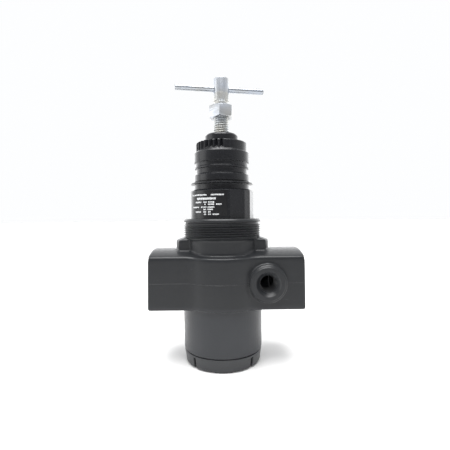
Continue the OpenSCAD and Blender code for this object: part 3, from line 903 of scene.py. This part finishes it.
def coil_spring(name, low, high, coil_r, wire_r, turns):
    """A compression spring with closed ends, ground flat."""
    per_turn, sides = 48, 16
    steps = int(turns * per_turn)
    end_rise = 2 * wire_r * 0.92 / per_turn
    free_rise = (high - low - wire_r - 2 * per_turn * end_rise) / (steps - 2 * per_turn)
    heights = [low + wire_r * 0.5]
    for k in range(steps):
        heights.append(heights[-1] + (free_rise if per_turn <= k < steps - per_turn else end_rise))
    rows = []
    for k, z in enumerate(heights):
        a = FULL * k / per_turn
        b = np.arange(sides) * FULL / sides
        r = coil_r + wire_r * np.cos(b)
        height = np.clip(z + wire_r * np.sin(b), low, high)
        rows.append(np.stack([r * math.cos(a), r * math.sin(a), height], axis=1))
    shell = Shell().grid(np.array(rows))
    for row in (rows[0], rows[-1]):
        shell.add(row, [list(range(sides))])
    return shell.object(name, 40)


RANGE_WIRE_R, VALVE_WIRE_R = 2.1, 0.8
range_coil = coil_spring("range_coil", range_low.z, range_high.z,
                         range_high.x - RANGE_WIRE_R, RANGE_WIRE_R, 9.5)
finish_piece(range_coil, spring_steel, "diaphragm_group", "steel", "range_spring")
valve_coil = coil_spring("valve_coil", valve_low.z, valve_high.z,
                         valve_high.x - VALVE_WIRE_R, VALVE_WIRE_R, 8)
finish_piece(valve_coil, spring_steel, "housing", "steel", "valve_spring")

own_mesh(range_coil)
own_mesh(valve_coil)


def diaphragm_disc():
    """Moulded diaphragm: clamped rim, sloping roll and raised middle."""
    low, high = diaphragm_low.z, diaphragm_high.z
    rim_r, thick = diaphragm_high.x, 1.5
    hub_r = 5.1
    top = [(rim_r, low + thick, 0.2), (21, low + thick, 0.8), (17, high, 0.8), (7.5, high, 0),
           (hub_r, high, 0)]
    under = [(hub_r, high - thick, 0), (16.6, high - thick, 0.8), (20.3, low, 0.8), (rim_r, low, 0.2),
             (rim_r, low + thick, 0)]
    return turned("diaphragm_disc", densify(soften(top) + soften(under), 0.5), 144)


disc = diaphragm_disc()
disc.data.materials.append(black_rubber)
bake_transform(disc)
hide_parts("diaphragm")

# ---------------------------------------------------------------------------
# CAD nodes that stay, with better finishes
# ---------------------------------------------------------------------------
KEPT = {
    "gauge_port_plug": plug_coat, "bottom_plug_o_ring": black_rubber, "slip_ring": turned_steel,
    "spring_button": turned_steel, "diaphragm_plate": turned_steel, "diaphragm_hub": turned_brass,
    "hub_nut": turned_brass, "valve_seat": turned_brass, "seat_o_ring": black_rubber,
    "valve_poppet": turned_brass, "poppet_seal": black_rubber, "valve_stem": turned_steel,
    "stem_o_ring": black_rubber,
}
for name, finish in KEPT.items():
    mesh = frame["nodes"][name].data
    mesh.materials.clear()
    mesh.materials.append(finish)

# ---------------------------------------------------------------------------
# Floor, light and world
# ---------------------------------------------------------------------------


def pale_floor():
    f = Finish("pale_floor", 0.6)
    f.colour(f.mix(f.noise(6, 2), (0.86, 0.855, 0.85), (0.9, 0.895, 0.89)))
    bpy.ops.mesh.primitive_circle_add(vertices=96, radius=8, fill_type="NGON", location=(0, 0, 0))
    floor = bpy.context.active_object
    floor.name = "floor"
    floor.data.materials.append(f.material)


def soft_light(name, at, size, power):
    """A square soft box at a point, facing the middle of the object."""
    data = bpy.data.lights.new(name, "AREA")
    data.shape = "RECTANGLE"
    data.size, data.size_y = size
    data.energy = power
    light = bpy.data.objects.new(name, data)
    light.location = at
    aim = Vector((0, 0, 0.11)) - Vector(at)
    light.rotation_euler = aim.to_track_quat("-Z", "Y").to_euler()
    bpy.context.scene.collection.objects.link(light)


# The world's strength in front, at the sides, behind and above, and what the camera sees of it
FRONT_LIGHT, SIDE_LIGHT, BACK_LIGHT, TOP_LIGHT, SEEN_WHITE = 0.3, 1.3, 3.0, 0.9, 1.0


def studio_world():
    """White above and behind, dimmer in front. The camera itself sees plain white all round."""
    world = bpy.data.worlds.new("studio")
    world.use_nodes = True
    tree = world.node_tree
    back = tree.nodes["Background"]
    coords = tree.nodes.new("ShaderNodeTexCoord")
    split = tree.nodes.new("ShaderNodeSeparateXYZ")
    tree.links.new(coords.outputs["Generated"], split.inputs[0])

    def ramp(axis, from_low, from_high, to_low, to_high):
        made = tree.nodes.new("ShaderNodeMapRange")
        made.interpolation_type = "SMOOTHSTEP"
        tree.links.new(split.outputs[axis], made.inputs["Value"])
        sockets = ("From Min", "From Max", "To Min", "To Max")
        for key, value in zip(sockets, (from_low, from_high, to_low, to_high)):
            made.inputs[key].default_value = value
        return made.outputs["Result"]

    def blend(factor, first, second):
        made = tree.nodes.new("ShaderNodeMix")
        for socket, value in zip(made.inputs[:1] + made.inputs[2:4], (factor, first, second)):
            if isinstance(value, float):
                socket.default_value = value
            else:
                tree.links.new(value, socket)
        return made.outputs[0]

    behind = ramp("Y", 0.1, 0.85, 0.0, 1.0)
    round_about = blend(behind, ramp("Y", -1.0, 0.1, FRONT_LIGHT, SIDE_LIGHT), BACK_LIGHT)
    light = blend(ramp("Z", 0.1, 0.7, 0.0, 1.0), round_about, TOP_LIGHT)
    path = tree.nodes.new("ShaderNodeLightPath")
    tree.links.new(blend(path.outputs["Is Camera Ray"], light, SEEN_WHITE), back.inputs["Strength"])
    back.inputs["Color"].default_value = (0.985, 0.992, 1.0, 1)
    bpy.context.scene.world = world


pale_floor()
soft_light("overhead", (-0.05, -0.2, 1.0), (0.8, 0.8), 17)
soft_light("left_box", (-0.9, -0.1, 0.3), (0.5, 0.7), 1.6)
studio_world()
bpy.context.scene.view_settings.view_transform = "Standard"
bpy.context.scene.view_settings.look = "None"
